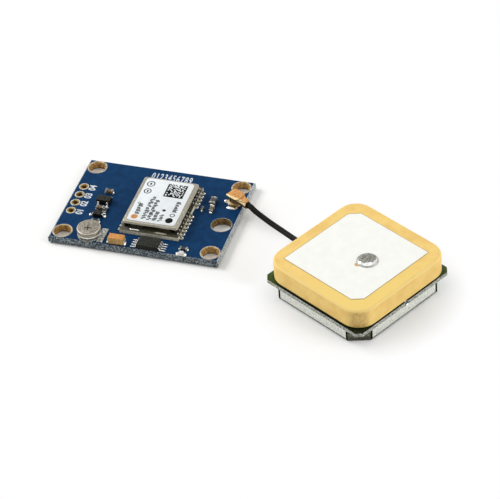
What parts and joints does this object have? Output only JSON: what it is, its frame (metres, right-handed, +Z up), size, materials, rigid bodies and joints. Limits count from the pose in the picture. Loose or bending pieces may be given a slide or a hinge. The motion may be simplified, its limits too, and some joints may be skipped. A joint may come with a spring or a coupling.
{
  "type": "gps receiver module",
  "caption": "Satellite positioning receiver on a small blue circuit board, with a square ceramic patch antenna on a short coaxial lead.",
  "frame": {"origin": "centre of the circuit board's flat underside", "axes": "+X along the board's long side towards the antenna, +Y towards the board's rear edge, +Z up out of the component side"},
  "size_m": [0.0791, 0.0409, 0.0088],
  "materials": {
    "blue_laminate": "glass-fibre laminate under a blue solder mask",
    "green_laminate": "glass-fibre laminate under a dark green solder mask",
    "nickel_sheet": "nickel-silver sheet, satin",
    "label_paper": "white label paper with plain grey printed fields",
    "moulding_compound": "black moulded epoxy",
    "chip_ceramic": "brown fired ceramic with tinned ends",
    "cell_steel": "nickel-plated steel, dull",
    "gasket_rubber": "black moulded seal",
    "tinned_metal": "tin plate and solder",
    "orange_epoxy": "orange moulded epoxy",
    "white_plastic": "white heat-resistant plastic",
    "led_lens": "milky clear resin",
    "gold_plate": "gold flash over brass and bronze",
    "cable_jacket": "black fluoropolymer jacket",
    "black_tape": "black foam tape",
    "silver_paint": "screen-printed and fired silver",
    "patch_ceramic": "unglazed fired ceramic"
  },
  "bodies": {
    "root": {"antenna_amplifier": "moulding_compound", "antenna_board": "green_laminate", "antenna_cable": "cable_jacket", "antenna_capacitor": "chip_ceramic", "antenna_ceramic": "patch_ceramic", "antenna_feed_joint": "tinned_metal", "antenna_feed_pin": "tinned_metal", "antenna_feed_solder": "tinned_metal", "antenna_ground_layer": "silver_paint", "antenna_patch": "silver_paint", "antenna_resistor": "moulding_compound", "antenna_saw_filter": "nickel_sheet", "antenna_shield": "tinned_metal", "antenna_tape": "black_tape", "bypass_capacitor": "chip_ceramic", "cable_hole_plating": "tinned_metal", "cable_joint": "tinned_metal", "cell_can": "cell_steel", "cell_cap": "cell_steel", "cell_gasket": "gasket_rubber", "cell_lower_tab": "tinned_metal", "cell_side_tab": "tinned_metal", "charge_resistor": "moulding_compound", "charging_diode": "moulding_compound", "circuit_board": "blue_laminate", "feed_resistor": "moulding_compound", "header_hole_plating_1": "tinned_metal", "header_hole_plating_2": "tinned_metal", "header_hole_plating_3": "tinned_metal", "header_hole_plating_4": "tinned_metal", "input_capacitor": "chip_ceramic", "led_base": "white_plastic", "led_lens": "led_lens", "led_resistor": "moulding_compound", "memory_chip": "moulding_compound", "module_base": "green_laminate", "module_label": "label_paper", "module_saw_filter": "chip_ceramic", "module_shield": "nickel_sheet", "module_shield_frame": "nickel_sheet", "mounting_hole_plating_1": "tinned_metal", "mounting_hole_plating_2": "tinned_metal", "mounting_hole_plating_3": "tinned_metal", "mounting_hole_plating_4": "tinned_metal", "output_capacitor": "chip_ceramic", "plug_contact": "gold_plate", "plug_insulator": "white_plastic", "plug_shell": "gold_plate", "receiver_chip": "moulding_compound", "reference_crystal": "nickel_sheet", "regulator": "moulding_compound", "rf_capacitor": "chip_ceramic", "socket_base": "white_plastic", "socket_pin": "gold_plate", "socket_shell": "gold_plate", "supply_inductor": "chip_ceramic", "tantalum_body": "orange_epoxy", "tantalum_terminal_1": "tinned_metal", "tantalum_terminal_2": "tinned_metal"}
  },
  "joints": []
}
